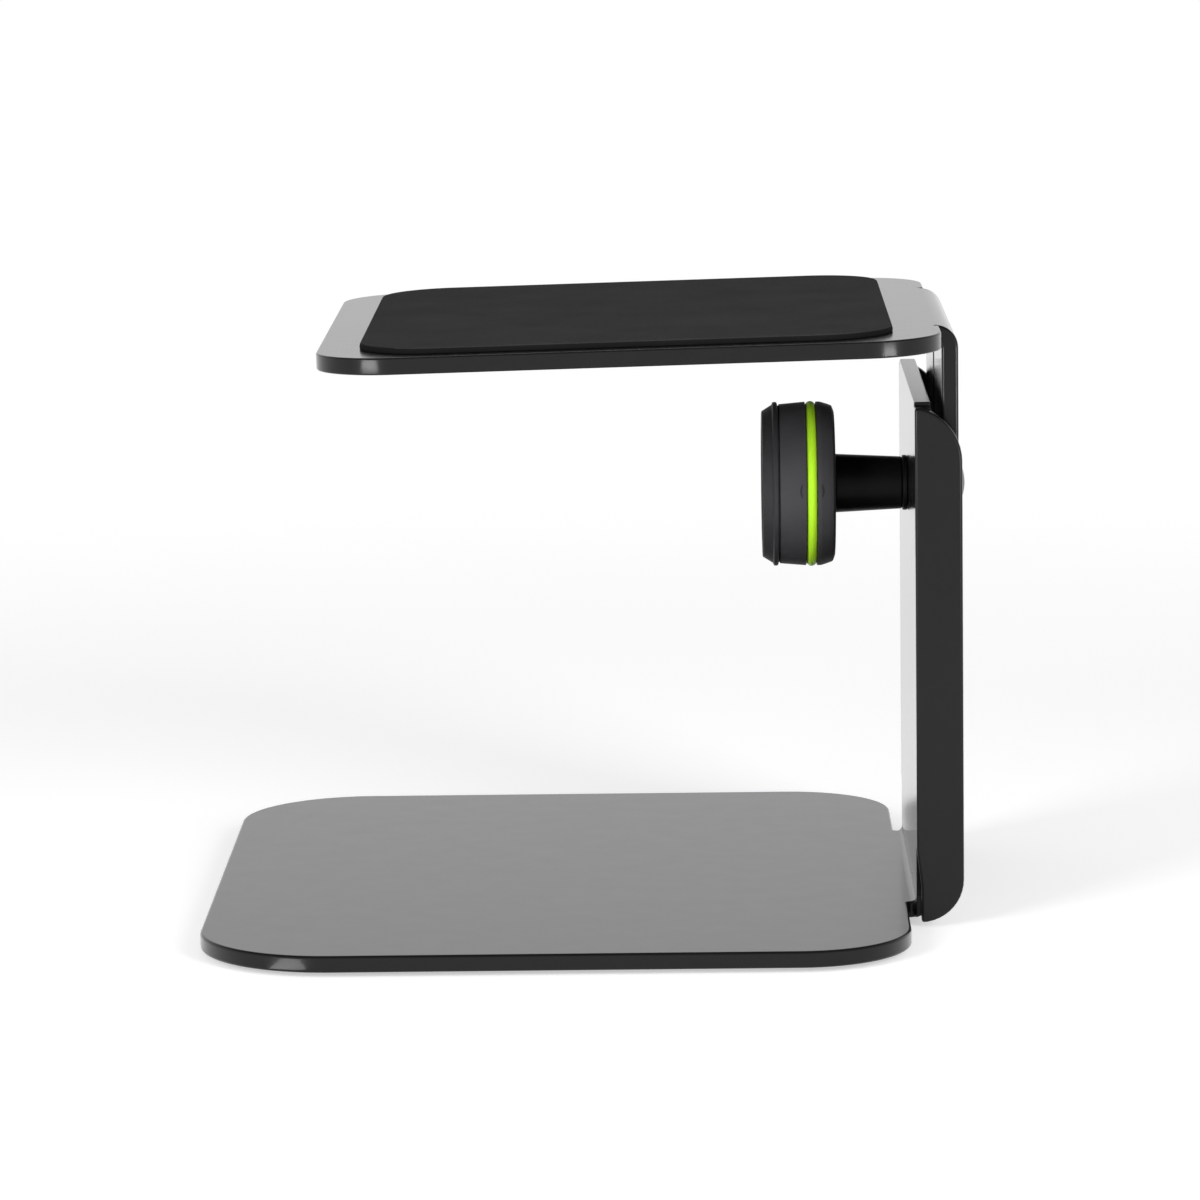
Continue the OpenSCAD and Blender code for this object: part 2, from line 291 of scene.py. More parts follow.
def skin(name, grid, material, close_rows=False):
    """The surface over a grid of points of shape (rows, columns, 3). Columns close on
    themselves; rows do where close_rows says so. Rows that shrink to a point become poles."""
    rows, columns = grid.shape[:2]
    index = np.arange(rows * columns).reshape(rows, columns)
    here = index if close_rows else index[:-1]
    above = np.roll(index, -1, 0) if close_rows else index[1:]
    quads = np.stack([here, np.roll(here, -1, 1), np.roll(above, -1, 1), above], -1).reshape(-1, 4)
    piece = add_piece(name, grid.reshape(-1, 3).tolist(), quads.tolist(), material)
    work = bmesh.new()
    work.from_mesh(piece.data)
    bmesh.ops.remove_doubles(work, verts=work.verts, dist=WELD)
    bmesh.ops.recalc_face_normals(work, faces=work.faces)
    work.to_mesh(piece.data)
    work.free()
    weigh_normals(piece)
    return piece


def turned(name, outline, origin, axis, material, closed=False, around=96, relief=None):
    """A turned solid: origin + station * axis + radius * (cos t * u + sin t * v), where the
    outline gives station and radius, and t goes once round. relief(stations, t) is added to
    the radius."""
    axis = Vector(axis).normalized()
    u = axis.orthogonal().normalized()
    v = axis.cross(u)
    t = np.linspace(0, 2 * np.pi, around, endpoint=False)
    station, radius = np.asarray(outline).T
    radius = np.repeat(radius[:, None], around, 1)
    if relief is not None:
        radius = radius + relief(station[:, None], t[None])
    ring = np.cos(t)[:, None] * np.array(u) + np.sin(t)[:, None] * np.array(v)
    grid = np.array(origin) + station[:, None, None] * np.array(axis) + radius[..., None] * ring
    return skin(name, grid, material, closed)


def rubber():
    """Dull black rubber with a fine pebble."""
    finish = Finish("foot_rubber")
    pebble = finish.noise(RUBBER_PEBBLE, detail=3.0)
    return finish.surface(
        Base_Color=finish.blend(pebble, RUBBER_DARK, RUBBER_LIGHT),
        Roughness=finish.between(RUBBER_ROUGH, pebble),
        Normal=finish.bump(pebble, RUBBER_DEPTH))


foot_rubber = rubber()
for end in ("front", "rear"):
    for side in ("left", "right"):
        low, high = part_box(f"foot_{end}_{side}")
        middle = (low + high) / 2
        foot_r, foot_t = (high.x - low.x) / 2, high.z - low.z
        outline = rounded([(0, 0, 0), (0, foot_r, FOOT_EDGE), (foot_t, foot_r, 0), (foot_t, 0, 0)])
        foot = turned(f"foot_pad_{end}_{side}", outline, (middle.x, middle.y, low.z), UP,
                      foot_rubber)
        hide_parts(f"foot_{end}_{side}")
        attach(foot, "base")

# Guide strips. Black nylon angles in the corners between the post and its flanges. The tongue
# of the tray runs between them, parallel to the post and off its paint.
STRIP_EDGE = 0.3 * MM
NYLON_DARK = (0.02, 0.02, 0.021, 1)
NYLON_LIGHT = (0.028, 0.028, 0.03, 1)
NYLON_GRAIN = 0.5 * MM
NYLON_DEPTH = 0.012 * MM
NYLON_ROUGH = (0.42, 0.52)


def nylon_finish():
    """Black nylon with a fine moulded grain."""
    finish = Finish("nylon")
    grain = finish.noise(NYLON_GRAIN)
    return finish.surface(
        Base_Color=finish.blend(grain, NYLON_DARK, NYLON_LIGHT),
        Roughness=finish.between(NYLON_ROUGH, grain), Normal=finish.bump(grain, NYLON_DEPTH))


nylon = nylon_finish()
for side in ("left", "right"):
    strip = dressed(f"guide_strip_{side}", f"strip_{side}", STRIP_EDGE, nylon)
    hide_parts(f"guide_strip_{side}")
    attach(strip, "base")

# Spacer. A nylon washer on the bolt that fills the gap between post and tongue, so that the
# knob can pull the two together without bending them.
SPACER_EDGE = 0.35 * MM
PLAIN_HOLE_R = 4.25 * MM
TO_FRONT = (0, -1, 0)


def washer(node, name, edge, material):
    """A flat ring round the bolt, with all four edges rounded, in the place of its CAD node."""
    low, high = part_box(node)
    outer, length = (high.x - low.x) / 2, high.y - low.y
    outline = rounded([(0, PLAIN_HOLE_R, edge), (0, outer, edge),
                       (length, outer, edge), (length, PLAIN_HOLE_R, edge)])
    origin = (0, high.y, (low.z + high.z) / 2)
    ring = turned(name, outline, origin, TO_FRONT, material, closed=True)
    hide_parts(node)
    return ring


spacer = washer("spacer_washer", "spacer_ring", SPACER_EDGE, nylon)
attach(spacer, "base")

# Tray bracket. The same sheet, folded once: a tray that leans 1.25 degrees to the front, and a
# tongue with a long slot that runs behind the post. Coated like the base.
tray_sheet = dressed("tray_bracket", "tray_sheet", SHEET_EDGE, coat)
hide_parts("tray_bracket")
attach(tray_sheet, "tray")

# Tray pad. A sheet of closed-cell foam rubber, cut with rounded corners and glued on. Its cut
# sides bulge a little and carry painted shade, a darker copy of the face's foam. Its upper edge
# is soft, and its face has fine pores and is clouded.
TRAY_SLOPE = math.radians(1.25)
PAD_CORNER = 22 * MM
PAD_SOFT = 0.8 * MM
PAD_BULGE = 0.12 * MM
PAD_WAVE = 0.05 * MM
WAVE_X, WAVE_Y = 19 * MM, 23 * MM
PAD_AROUND = 160
PAD_STEPS = 7
# How far out the rings of the underside and those of the face lie, as shares of the outline
UNDER_SHARES = (0, 0.5, 0.9)
FACE_SHARES = (0.985, 0.95, 0.88, 0.78, 0.64, 0.48, 0.32, 0.16, 0)
FOAM_DARK = (0.02, 0.02, 0.0205, 1)
FOAM_LIGHT = (0.05, 0.05, 0.051, 1)
# Painted shade: the darker foam of the pad's cut sides
PAINTED_SIDE_SHADE_DARK = (0.006, 0.006, 0.0062, 1)
PAINTED_SIDE_SHADE_LIGHT = (0.014, 0.014, 0.0143, 1)
# Faces whose normal rises less than this belong to the cut sides, which get the painted shade
PAINTED_SIDE_SHADE_RISE = 0.6
FOAM_CLOUD = 26 * MM
FOAM_PORE = 0.7 * MM
CLOUD_SHARE = 0.7
PORE_DEPTH = 0.12 * MM
FOAM_ROUGH = 0.9
FOAM_SHINE = 0.12


def foam(name, dark, light):
    """Fine pores under soft clouds."""
    finish = Finish(name)
    cloud = finish.noise(FOAM_CLOUD, detail=5.0)
    pores = finish.noise(FOAM_PORE, detail=3.0)
    colour = finish.blend(cloud * CLOUD_SHARE + pores * (1 - CLOUD_SHARE), dark, light)
    return finish.surface(
        Base_Color=colour, Roughness=FOAM_ROUGH, Specular_IOR_Level=FOAM_SHINE,
        Normal=finish.bump(pores, PORE_DEPTH))


def rounded_rectangle(half_w, half_l, corner, around):
    """Points round a rectangle with corner arcs: each quarter is an arc of the corner radius
    about its own centre, and the straight sides are the steps between the quarters."""
    t = np.linspace(0, np.pi / 2, around // 4)
    arc = np.stack([np.cos(t), np.sin(t)], 1)
    quarters = []
    for signs, run in (((1, 1), 1), ((-1, 1), -1), ((-1, -1), 1), ((1, -1), -1)):
        quarter = np.array([half_w, half_l]) - corner + arc[::run] * corner
        quarters.append(np.array(signs) * quarter)
    return np.concatenate(quarters)


def pad_grid(width, length, thick):
    """Rings of one rounded rectangle, from the middle of the underside out, up the side and
    back to the middle of the face. Inset of the side: PAD_BULGE * (1 - sin(pi * height share)).
    Upper edge: a quarter circle of radius PAD_SOFT. The face lies lower by PAD_WAVE *
    (1 + sin(x / WAVE_X) * cos(y / WAVE_Y))."""
    # Each ring: height above the underside, inset from the outline, and share of the outline
    rows = [(0, PAD_BULGE, share) for share in UNDER_SHARES]
    rows += [(up * (thick - PAD_SOFT), PAD_BULGE * (1 - math.sin(math.pi * up)), 1)
             for up in np.linspace(0, 1, PAD_STEPS)]
    rows += [(thick - PAD_SOFT * (1 - math.sin(turn)),
              PAD_BULGE + PAD_SOFT * (1 - math.cos(turn)), 1)
             for turn in np.linspace(0, np.pi / 2, PAD_STEPS)[1:]]
    rows += [(thick, PAD_BULGE + PAD_SOFT, share) for share in FACE_SHARES]
    rings = []
    for height, inset, share in rows:
        ring = share * rounded_rectangle(width / 2 - inset, length / 2 - inset,
                                         PAD_CORNER - inset, PAD_AROUND)
        wave = np.zeros(len(ring))
        if height == thick and share < FACE_SHARES[0]:
            wave = -PAD_WAVE * (1 + np.sin(ring[:, 0] / WAVE_X) * np.cos(ring[:, 1] / WAVE_Y))
        rings.append(np.column_stack([ring, wave + height - thick / 2]))
    return np.array(rings)


# The box round the leaning pad gives the pad's own length and thickness
low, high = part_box("tray_pad")
extent = high - low
lean = np.array([[math.cos(TRAY_SLOPE), math.sin(TRAY_SLOPE)],
                 [math.sin(TRAY_SLOPE), math.cos(TRAY_SLOPE)]])
pad_l, pad_t = np.linalg.solve(lean, [extent.y, extent.z])
to_slope = np.array(Matrix.Rotation(TRAY_SLOPE, 3, "X"))
pad_points = pad_grid(extent.x, pad_l, pad_t) @ to_slope.T + np.array((low + high) / 2)
pad = skin("pad_sheet", pad_points, foam("pad_foam", FOAM_DARK, FOAM_LIGHT))
# The cut sides get the darker copy of the foam as painted shade
pad.data.materials.append(foam("pad_painted_side_shade", PAINTED_SIDE_SHADE_DARK, PAINTED_SIDE_SHADE_LIGHT))
normals = np.zeros(3 * len(pad.data.polygons))
pad.data.polygons.foreach_get("normal", normals)
painted_shade_side = np.abs(normals.reshape(-1, 3)[:, 2]) < PAINTED_SIDE_SHADE_RISE
pad.data.polygons.foreach_set("material_index", painted_shade_side.astype(np.int32))
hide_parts("tray_pad")
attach(pad, "tray")

# Clamp bolt. A coach bolt M8: low domed head behind the tongue, square neck in the slot so
# that it can't turn, and a threaded shank through spacer, post and washer into the knob.
SHANK_R = 4 * MM
PLAIN_SHANK = 9 * MM
PITCH = 1.25 * MM
PITCH_STEPS = 10
THREAD_DEPTH = 0.6 * MM
THREAD_GAP = 0.02 * MM
TIP_CHAMFER = 1 * MM
NECK = 4.5 * MM
NECK_CORNER = 0.6 * MM
NECK_STEP = 0.05 * MM
HEAD_H = 4.2 * MM
HEAD_RIM = 0.5 * MM
DOME_STEPS = 14
BOLT_AROUND = 96
BOLT_STEEL = (0.075, 0.075, 0.078, 1)
BOLT_RUBBED = (0.12, 0.12, 0.122, 1)
BOLT_METAL = 0.4
BOLT_ROUGH = (0.34, 0.44)
RUB_CLOUD = 3 * MM
BOLT_GRAIN = 0.5 * MM
BOLT_DEPTH = 0.006 * MM


def bolt_grid(low, high):
    """Radius of the bolt in its box over station s, from the dome's top to the tip, and angle t.
    Dome: a sphere's cap that ends in a small rim. Neck: a square, SHANK_R / max(|cos t|, |sin t|),
    held back at its corners. Shank: SHANK_R less a triangular wave of s / pitch - t / turn.
    Tip: no wider than a cone that loses a millimetre over the last millimetre."""
    t = np.linspace(0, 2 * np.pi, BOLT_AROUND, endpoint=False)
    head_r, middle = (high.z - low.z) / 2, (low.z + high.z) / 2
    end = high.y - low.y
    ball = (head_r ** 2 + HEAD_H ** 2) / (2 * HEAD_H)
    rise = np.linspace(0, np.arcsin(head_r / ball), DOME_STEPS)
    dome = np.column_stack([ball * (1 - np.cos(rise)), ball * np.sin(rise)])
    dome[-1] = (HEAD_H - HEAD_RIM / 2, head_r - HEAD_RIM / 8)
    square = SHANK_R / np.maximum(np.abs(np.cos(t)), np.abs(np.sin(t)))
    square = np.minimum(square, SHANK_R * math.sqrt(2) - NECK_CORNER)
    s = np.arange(HEAD_H + PLAIN_SHANK, end, PITCH / PITCH_STEPS)[:, None]
    wave = (s - HEAD_H) / PITCH - t / (2 * np.pi)
    cut = THREAD_DEPTH * np.abs(2 * (wave % 1) - 1)
    cone = SHANK_R - TIP_CHAMFER + (end - s)
    thread = np.minimum(SHANK_R - THREAD_GAP - cut, cone)
    bands = [(dome[:, :1], dome[:, 1:]), ([[HEAD_H]], head_r - HEAD_RIM / 2),
             ([[HEAD_H], [HEAD_H + NECK - NECK_CORNER]], square),
             ([[HEAD_H + NECK]], SHANK_R - NECK_STEP), (s, thread),
             ([[end]], SHANK_R - TIP_CHAMFER), ([[end]], 0)]
    station = np.concatenate([stations for stations, radii in bands])
    radius = np.concatenate([np.broadcast_to(radii, (len(stations), BOLT_AROUND))
                             for stations, radii in bands])
    y = np.repeat(high.y - station, BOLT_AROUND, 1)
    return np.stack([radius * np.cos(t), y, middle + radius * np.sin(t)], -1)


def blackened():
    """Blackened steel: dark, with a faint lighter cloud where hands have rubbed it."""
    finish = Finish("blackened_steel")
    rub = finish.noise(RUB_CLOUD, detail=3.0)
    return finish.surface(
        Base_Color=finish.blend(rub, BOLT_STEEL, BOLT_RUBBED), Metallic=BOLT_METAL,
        Roughness=finish.between(BOLT_ROUGH, rub),
        Normal=finish.bump(finish.noise(BOLT_GRAIN), BOLT_DEPTH))


bolt = skin("coach_bolt", bolt_grid(*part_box("clamp_bolt")), blackened())
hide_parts("clamp_bolt")
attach(bolt, "base")

# Clamp washer. A glossy black nylon washer under the end of the knob's stem, which spares
# the coat of the post when the knob is tightened.
WASHER_EDGE = 0.4 * MM
GLOSS_DARK = (0.007, 0.007, 0.0073, 1)
GLOSS_LIGHT = (0.01, 0.01, 0.0105, 1)
GLOSS_HAZE = 2.5 * MM
GLOSS_DEPTH = 0.006 * MM
GLOSS_ROUGH = (0.36, 0.46)
GLOSS_SHINE = 0.12


def gloss_black():
    """Hard black plastic with a smooth, slightly uneven shine."""
    finish = Finish("stem_plastic")
    haze = finish.noise(GLOSS_HAZE)
    return finish.surface(
        Base_Color=finish.blend(haze, GLOSS_DARK, GLOSS_LIGHT),
        Roughness=finish.between(GLOSS_ROUGH, haze), Specular_IOR_Level=GLOSS_SHINE,
        Normal=finish.bump(haze, GLOSS_DEPTH))


stem_black = gloss_black()
under_knob = washer("clamp_washer", "knob_washer", WASHER_EDGE, stem_black)
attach(under_knob, "washer")

# Knob. A round hand knob of hard black plastic: a tapered stem, and a drum that has a
# soft-touch skin, a groove for the coloured ring and a hollow front that the cap closes.
STEM_L = 20.4 * MM
STEM_END_R = 7.95 * MM
STEM_ROOT_R = 8.95 * MM
STEM_EDGE = 0.6 * MM
ROOT_FILLET = 0.5 * MM
# Shoulder of the drum: distance from the stem, share of the drum's radius, and rounding
SHOULDER = ((0.25 * MM, 0.88, 0.8 * MM), (0.9 * MM, 0.95, 0.6 * MM), (2.1 * MM, 0.97, 1.2 * MM),
            (4.5 * MM, 1, 2 * MM))
GROOVE_EDGE = 0.35 * MM
SEAM_SHARE = 0.972
SEAM_EDGE = 0.3 * MM
HOLLOW_R = 18.5 * MM
HOLLOW_D = 9 * MM
INSERT_R = 6.03 * MM
PRESS_GAP = 0.03 * MM
DRUM_AROUND = 160
SOFT_DARK = (0.044, 0.0434, 0.0465, 1)
SOFT_LIGHT = (0.06, 0.0593, 0.0635, 1)
SOFT_CLOUD = 7 * MM
SOFT_GRAIN = 0.35 * MM
SOFT_ROUGH = (0.5, 0.6)
SOFT_SHINE = 0.22
# Specks of dust on the skin: their spacing, their size and the share of the places that have one
LINT = (9 * MM, 0.13 * MM, 0.25)
LINT_GREY = (0.3, 0.3, 0.3, 1)
# Dark arcs on the +X side of the drum: radius, rise of their middle over the axis, half width,
# and how far from the middle of the ring they start
MARK_R = 3.4 * MM
MARK_RISE = 0.9 * MM
MARK_HALF_W = 0.3 * MM
MARK_FROM = 0.86 * MARK_R
MARK_BLACK = (0.009, 0.009, 0.011, 1)
# Depth of the whole relief, and the shares of it that the grain and the arcs take
RELIEF_DEPTH = 0.25 * MM
GRAIN_SHARE = 0.04
MARK_SHARE = 0.6

low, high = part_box("knob_body")
ring_low, ring_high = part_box("knob_ring")
insert_low, insert_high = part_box("knob_insert")
knob_z = (low.z + high.z) / 2
knob_rear = high.y
drum_end = high.y - low.y
drum_r = (high.z - low.z) / 2
ring_s = knob_rear - (ring_low.y + ring_high.y) / 2
ring_half = (ring_high.y - ring_low.y) / 2
ring_r = (ring_high.z - ring_low.z) / 2
groove_r = ring_r - 2 * ring_half - PRESS_GAP
groove_from = ring_s - ring_half - PRESS_GAP
groove_to = ring_s + ring_half + PRESS_GAP
insert_from, insert_to = knob_rear - insert_high.y, knob_rear - insert_low.y


def dark_sunk_arcs(finish):
    """1 on two short arcs of a circle round a point of the ring, one on either side of it."""
    x, y, z = (finish.node("SeparateXYZ", {}, {0: finish.place}, axis) for axis in "XYZ")
    along = y - (knob_rear - ring_s)
    height = z - (knob_z + MARK_RISE)
    away = finish.math("SQRT", along * along + height * height)
    band = finish.math("LESS_THAN", finish.math("ABSOLUTE", away - MARK_R), MARK_HALF_W)
    ends = finish.math("GREATER_THAN", finish.math("ABSOLUTE", along), MARK_FROM)
    near = finish.math("GREATER_THAN", x, 0.0)
    return band * ends * near


def soft_touch(name, dark, light, marked):
    """Soft-touch skin: satin, bluish black, with fine grain, faint clouds and specks of dust.
    Where it is marked it carries two dark arcs on its +X side, darker and sunk in."""
    finish = Finish(name)
    cloud = finish.noise(SOFT_CLOUD, detail=4.0)
    colour = finish.blend(cloud, dark, light)
    colour = finish.blend(finish.specks(*LINT), colour, LINT_GREY)
    relief = finish.noise(SOFT_GRAIN) * GRAIN_SHARE
    if marked:
        mark = dark_sunk_arcs(finish) * MARK_SHARE
        colour = finish.blend(mark, colour, MARK_BLACK)
        relief = relief - mark
    return finish.surface(
        Base_Color=colour, Roughness=finish.between(SOFT_ROUGH, cloud),
        Specular_IOR_Level=SOFT_SHINE, Normal=finish.bump(relief, RELIEF_DEPTH))


knob_outline = rounded([
    (0, PLAIN_HOLE_R, 0), (0, STEM_END_R, STEM_EDGE), (STEM_L, STEM_ROOT_R, ROOT_FILLET),
    *[(STEM_L + ahead, share * drum_r, edge) for ahead, share, edge in SHOULDER],
    (groove_from, drum_r, GROOVE_EDGE), (groove_from, groove_r, 0),
    (groove_to, groove_r, 0), (groove_to, drum_r, GROOVE_EDGE),
    (drum_end, SEAM_SHARE * drum_r, SEAM_EDGE), (drum_end, HOLLOW_R, 0),
    (drum_end - HOLLOW_D, HOLLOW_R, 0), (drum_end - HOLLOW_D, PLAIN_HOLE_R, 0),
    (insert_to, PLAIN_HOLE_R, 0), (insert_to, INSERT_R, 0),
    (insert_from, INSERT_R, 0), (insert_from, PLAIN_HOLE_R, 0)])
knob = turned("knob_drum", knob_outline, (0, knob_rear, knob_z), TO_FRONT, stem_black,
              closed=True, around=DRUM_AROUND)
knob.data.materials.append(soft_touch("soft_touch_drum", SOFT_DARK, SOFT_LIGHT, True))
centres = np.zeros(3 * len(knob.data.polygons))
knob.data.polygons.foreach_get("center", centres)
on_drum = knob_rear - centres.reshape(-1, 3)[:, 1] > STEM_L
knob.data.polygons.foreach_set("material_index", on_drum.astype(np.int32))
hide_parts("knob_body")
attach(knob, "knob")

# Threaded insert. A knurled brass bush moulded into the stem, whose thread takes the bolt. The
# knurl keeps it from turning in the plastic, and only its end shows when the knob is off.
BORE_R = 4.05 * MM
KNURLS = 36
KNURL_STEPS = 4
KNURL_DEPTH = 0.15 * MM
BRASS_BRIGHT = (0.62, 0.45, 0.17, 1)
BRASS_DULL = (0.45, 0.32, 0.12, 1)
BRASS_CLOUD = 1.5 * MM
BRASS_ROUGH = (0.25, 0.4)


def brass():
    """Turned brass, dulled in small clouds."""
    finish = Finish("insert_brass")
    dull = finish.noise(BRASS_CLOUD, detail=3.0)
    return finish.surface(
        Base_Color=finish.blend(dull, BRASS_BRIGHT, BRASS_DULL), Metallic=1.0,
        Roughness=finish.between(BRASS_ROUGH, dull))


def knurl(station, t):
    """Straight knurl: the radius dips by up to KNURL_DEPTH, KNURLS times round."""
    return -KNURL_DEPTH * (0.5 - 0.5 * np.cos(KNURLS * t)) * np.ones_like(station)


insert_l = insert_to - insert_from
insert_r = (insert_high.x - insert_low.x) / 2
bush_bore = BORE_R + KNURL_DEPTH
bush_outline = [(0, bush_bore), (0, insert_r), (insert_l, insert_r), (insert_l, bush_bore)]
bush = turned("brass_bush", bush_outline, (0, insert_high.y, knob_z), TO_FRONT, brass(),
              closed=True, around=KNURL_STEPS * KNURLS, relief=knurl)
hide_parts("knob_insert")
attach(bush, "knob")

# Ring. A round cord of bright yellow-green rubber, moulded as a ring and snapped into the
# groove of the drum, for looks and grip.
RING_STEPS = 20
RING_GREEN = (0.54, 0.97, 0.033, 1)
RING_SHADE = (0.49, 0.93, 0.028, 1)
RING_CLOUD = 5 * MM
RING_GRAIN = 0.4 * MM
RING_DEPTH = 0.01 * MM
RING_ROUGH = 0.45
RING_SHINE = 0.18


def ring_rubber():
    """Satin coloured rubber with a fine grain and faint clouds."""
    finish = Finish("ring_rubber")
    cloud = finish.noise(RING_CLOUD)
    return finish.surface(
        Base_Color=finish.blend(cloud, RING_GREEN, RING_SHADE), Roughness=RING_ROUGH,
        Specular_IOR_Level=RING_SHINE, Normal=finish.bump(finish.noise(RING_GRAIN), RING_DEPTH))


t = np.linspace(0, 2 * np.pi, RING_STEPS, endpoint=False)
circle = np.column_stack([ring_half * np.cos(t), ring_r - ring_half + ring_half * np.sin(t)])
ring = turned("grip_ring", circle, (0, knob_rear - ring_s, knob_z), TO_FRONT, ring_rubber(),
              closed=True, around=DRUM_AROUND)
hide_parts("knob_ring")
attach(ring, "knob")

# Cap. A moulded disc pressed into the hollow of the drum. A raised lip runs round its seam,
# and a bevel leads to the plain, slightly dished front face. Its skin is the drum's, made darker
# as painted shade.
FACE_R = 22.2 * MM
NECK_SHARE = 0.955
# Lip: distance from the seam, share of the cap's radius, and rounding
LIP = ((0, NECK_SHARE, 0), (0.25 * MM, NECK_SHARE, 0), (0.55 * MM, 1, 0.5 * MM),
       (1.75 * MM, 1, 0.5 * MM), (2.1 * MM, 0.965, 0.4 * MM))
FACE_EDGE = 0.5 * MM
# Dish: the shares of the face's radius at which it starts and at which it is flat
DISH_FROM, DISH_FLAT = 0.84, 0.81
DISH_DEPTH = 0.5 * MM
DISH_EDGE = 0.3 * MM
# The cap's skin: the drum's soft-touch colours darkened, painted shade
CAP_PAINTED_SHADE_DARK = (0.025, 0.0247, 0.0264, 1)
CAP_PAINTED_SHADE_LIGHT = (0.041, 0.0405, 0.0434, 1)

low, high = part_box("knob_cap")
cap_rear, cap_r = knob_rear - drum_end, (high.z - low.z) / 2
cap_l = cap_rear - low.y
spigot, spigot_r = high.y - cap_rear, HOLLOW_R - PRESS_GAP
cap_outline = rounded([
    (-spigot, 0, 0), (-spigot, spigot_r, 0), (0, spigot_r, 0),
    *[(ahead, share * cap_r, edge) for ahead, share, edge in LIP],
    (cap_l, FACE_R, FACE_EDGE), (cap_l, DISH_FROM * FACE_R, DISH_EDGE),
    (cap_l - DISH_DEPTH, DISH_FLAT * FACE_R, DISH_EDGE), (cap_l - DISH_DEPTH, 0, 0)])
cap = turned("knob_face", cap_outline, (0, cap_rear, knob_z), TO_FRONT,
             soft_touch("soft_touch_cap_painted_shade", CAP_PAINTED_SHADE_DARK, CAP_PAINTED_SHADE_LIGHT, False), around=DRUM_AROUND)
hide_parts("knob_cap")
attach(cap, "knob")

# Floor and backdrop. A plain white floor that runs out of sight. To the camera and in
# reflections it glows enough to read as white, more so away from the stand, and it keeps the
# stand's own shadow. The sky of the studio is white at the horizon and dim overhead.
FLOOR_SIZE = 40
FLOOR_WHITE = (0.82, 0.82, 0.82, 1)
FLOOR_LIFT = 0.5
NEAR_FLOOR, FAR_FLOOR = 0.3, 0.9
SKY_LIGHT = 0.45
SKY_GLOW = (1.0, 0.06)
SKY_FROM, SKY_TO = 0.25, 0.75


def seen_rays(finish):
    """The camera ray, and 1 for all rays that show the background: from the camera, in mirrors
    and through glass."""
    camera_ray, glossy_ray, glass_ray = [finish.node("LightPath", out=f"Is {kind} Ray")
                                         for kind in ("Camera", "Glossy", "Transmission")]
    camera_or_glossy = finish.math("MAXIMUM", camera_ray, glossy_ray)
    return camera_ray, finish.math("MAXIMUM", camera_or_glossy, glass_ray)


def floor_finish():
    """White paper, with a glow for camera, mirror and glass rays alone that grows from
    FLOOR_LIFT near the stand to full white far from it."""
    finish = Finish("floor_white")
    camera_ray, seen = seen_rays(finish)
    reach = finish.node("VectorMath", {"operation": "LENGTH"}, {0: finish.place}, "Value")
    far = finish.node("MapRange", {"interpolation_type": "SMOOTHSTEP"},
                      {"Value": reach, "From Min": NEAR_FLOOR, "From Max": FAR_FLOOR})
    paper = finish.node("BsdfDiffuse", {}, {"Color": FLOOR_WHITE})
    glow = finish.node("Emission", {}, {"Strength": FLOOR_LIFT})
    lit = finish.node("AddShader", {}, {0: paper, 1: glow})
    white = finish.node("Emission", {}, {"Strength": 1.0})
    backdrop = finish.node("MixShader", {}, {0: far, 1: lit, 2: white})
    finish.end_with(finish.node("MixShader", {}, {0: seen, 1: paper, 2: backdrop}))
    finish.material.cycles.emission_sampling = "NONE"
    return finish.material


half = FLOOR_SIZE / 2
floor = add_piece("floor", [(-half, -half, 0), (half, -half, 0), (half, half, 0), (-half, half, 0)],
                  [(0, 1, 2, 3)], floor_finish())

world = bpy.data.worlds.new("studio")
bpy.context.scene.world = world
world.use_nodes = True
world.cycles.sampling_method = "NONE"
sky = Finish("studio", world.node_tree)
camera_ray, seen = seen_rays(sky)
height = sky.node("SeparateXYZ", {}, {0: sky.node("TexCoord", out="Generated")}, "Z")
overhead = sky.node("MapRange", {"interpolation_type": "SMOOTHSTEP"},
                    {"Value": height, "From Min": SKY_FROM, "From Max": SKY_TO})
shown = camera_ray + (1 - camera_ray) * sky.between(SKY_GLOW, overhead)
strength = seen * shown + (1 - seen) * SKY_LIGHT
sky.end_with(sky.node("Background", {}, {"Strength": strength}))

# Lamps. Two tall soft boxes stand either side of the camera and give the plain light. Bright
# cards lie on the floor beyond the two near corners, and one close to the base. Only
# reflections show them, as the upright highlights on the round corners of the sheets.
BOXES = {"left_box": (1.1, -0.85, 0.5), "right_box": (1.1, 0.8, 0.5)}
BOX_AIM = (0, 0, 0.1)
BOX_SIZE = (0.5, 0.8)
BOX_POWER = 12.0
CARD_LIFT = 1 * MM
# Each card: the point that it leads away from, its heading in degrees, its nearest and farthest
# reach from there, its width and its brightness
CARDS = {"left_card": ((0.093, -0.099), -33.5, (1.2, 2.0), 0.62, 40.0),
         "right_card": ((0.093, 0.089), 38.5, (1.2, 2.0), 0.5, 40.0),
         "base_card": ((0.123, -0.087), -34.0, (0.004, 0.04), 0.014, 10.0)}


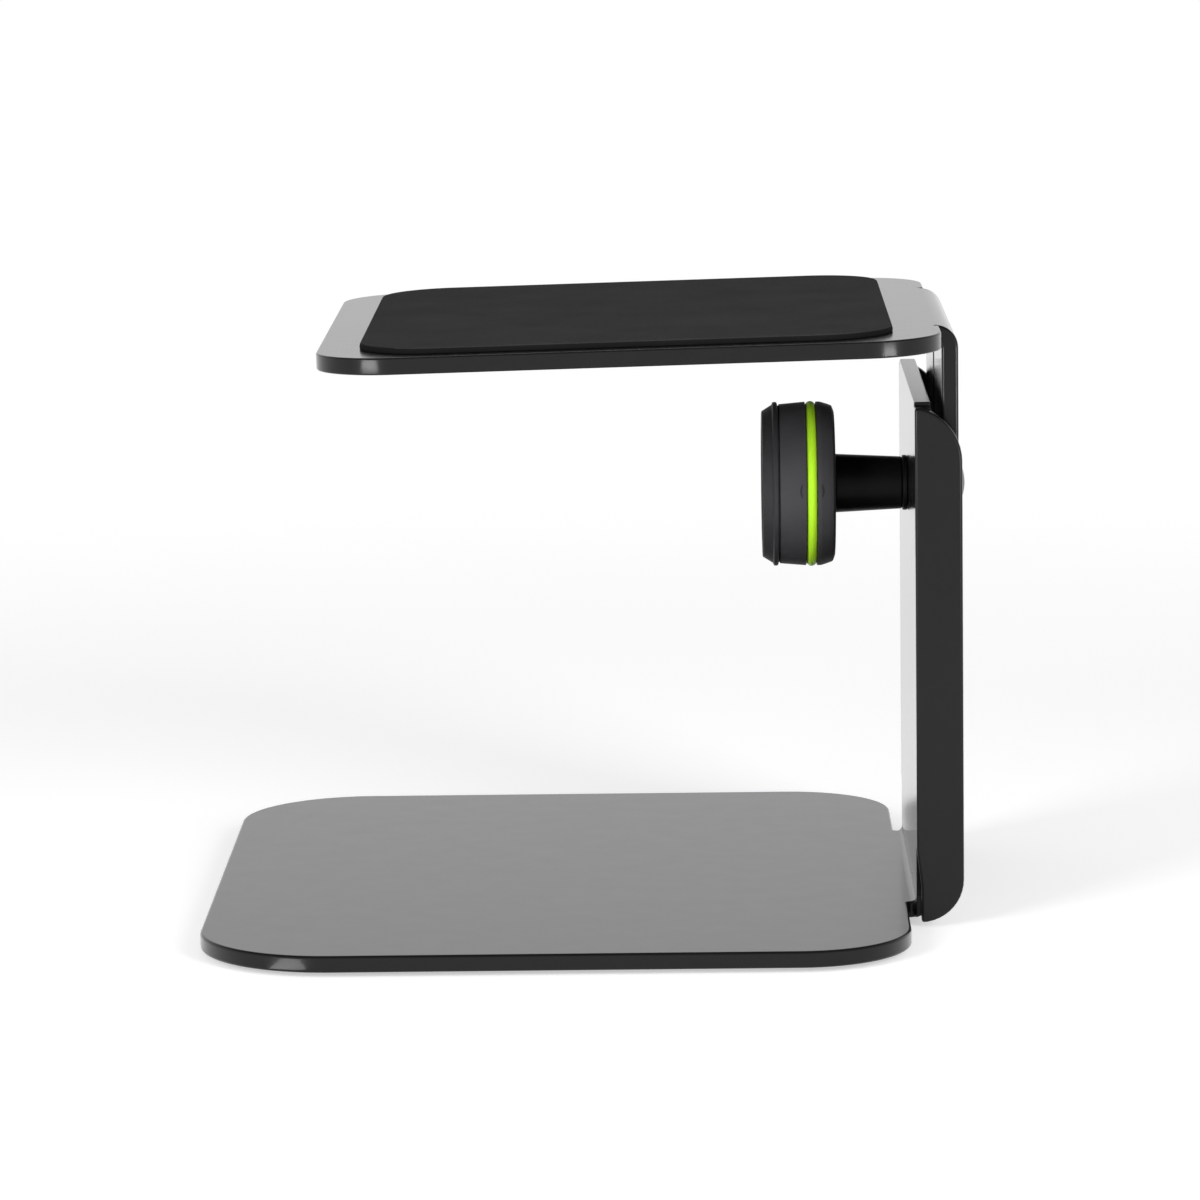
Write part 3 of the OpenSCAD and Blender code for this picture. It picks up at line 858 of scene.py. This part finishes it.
def lamp_object(name, size, power):
    """A rectangular area lamp that the camera doesn't see."""
    lamp = bpy.data.lights.new(name, "AREA")
    lamp.shape = "RECTANGLE"
    lamp.size, lamp.size_y = size
    lamp.energy = power
    holder = bpy.data.objects.new(name, lamp)
    holder.visible_camera = False
    bpy.context.scene.collection.objects.link(holder)
    return holder


for name, place in BOXES.items():
    box = lamp_object(name, BOX_SIZE, BOX_POWER)
    box.rotation_mode = "QUATERNION"
    box.rotation_quaternion = (Vector(place) - Vector(BOX_AIM)).to_track_quat("Z", "Y")
    box.location = place
    box.visible_glossy = False

# A lamp's brightness is its power over pi times its area
for name, (start, degrees, (nearest, farthest), width, brightness) in CARDS.items():
    heading, length, middle = math.radians(degrees), farthest - nearest, (nearest + farthest) / 2
    card = lamp_object(name, (length, width), brightness * math.pi * length * width)
    card.location = (start[0] + middle * math.cos(heading), start[1] + middle * math.sin(heading),
                     CARD_LIFT)
    card.rotation_euler = (math.pi, 0, heading)
    card.visible_diffuse = False

# Camera. Level with the photograph's: almost along -X, a little above the tray, with a long
# lens. Its place is measured from the post's front face and the underside of the base plate.
FOCAL_PX = 5859.9
PHOTO_PX = 1200
EYE = (1775.3 * MM, -66.9 * MM, 362.3 * MM)
YAW, PITCH_DOWN, ROLL = -0.0154, 0.1529, -0.0136
SHEET = 5 * MM
FAR_CLIP = 100

post_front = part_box("spacer_washer")[0].y - SHEET
plate_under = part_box("base_bracket")[0].z
eye = Vector(EYE) + Vector((0, post_front, plate_under))
ahead = Vector((-math.cos(YAW) * math.cos(PITCH_DOWN), math.sin(YAW) * math.cos(PITCH_DOWN),
                -math.sin(PITCH_DOWN)))
level_right = ahead.cross(Vector((0, 0, 1))).normalized()
level_up = level_right.cross(ahead)
right = math.cos(ROLL) * level_right + math.sin(ROLL) * level_up
up = math.cos(ROLL) * level_up - math.sin(ROLL) * level_right
lens = bpy.data.cameras.new("photo")
lens.sensor_fit = "HORIZONTAL"
lens.lens = FOCAL_PX / PHOTO_PX * lens.sensor_width
lens.clip_end = FAR_CLIP
camera = bpy.data.objects.new("photo", lens)
camera.matrix_world = Matrix.Translation(eye) @ Matrix((right, up, -ahead)).transposed().to_4x4()
bpy.context.scene.collection.objects.link(camera)
bpy.context.scene.camera = camera
bpy.context.scene.view_settings.view_transform = "Standard"
